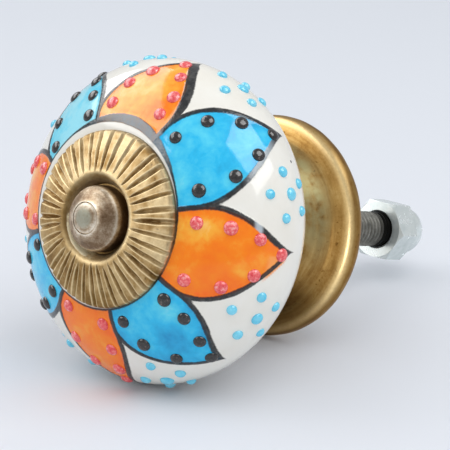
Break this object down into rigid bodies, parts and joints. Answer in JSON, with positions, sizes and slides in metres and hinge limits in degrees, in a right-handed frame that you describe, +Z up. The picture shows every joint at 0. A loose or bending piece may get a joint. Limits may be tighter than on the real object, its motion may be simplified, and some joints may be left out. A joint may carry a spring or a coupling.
{
  "type": "cabinet knob",
  "caption": "Round hand-painted ceramic cabinet knob with a fluted brass rosette and dome on the front, a flared brass base behind and a threaded stud with a cap nut.",
  "frame": {"origin": "centre of the flared base's rear face, which lies on the drawer front", "axes": "+Y along the stud towards the cap nut, so the painted front faces -Y, and +Z up"},
  "size_m": [0.0429, 0.0716, 0.0423],
  "materials": {
    "painted_glaze": "glossy white glaze with painted petals and raised dots",
    "antique_brass": "antique, worn bright on the edges",
    "brown_brass": "brown patina, satin",
    "stud_steel": "dull rolled thread",
    "zinc_steel": "bright zinc plate"
  },
  "bodies": {
    "knob": {"ceramic_head": "painted_glaze", "front_rosette": "antique_brass", "dome_cap": "brown_brass", "threaded_stud": "stud_steel", "flared_base": "antique_brass", "clamp_nut": "zinc_steel"},
    "cap_nut": {"cap_nut": "zinc_steel"}
  },
  "joints": [
    {"name": "cap_nut_travel", "type": "slide", "parent": "knob", "child": "cap_nut", "axis": [0, 1, 0], "range_m": [0, 0.012]}
  ]
}
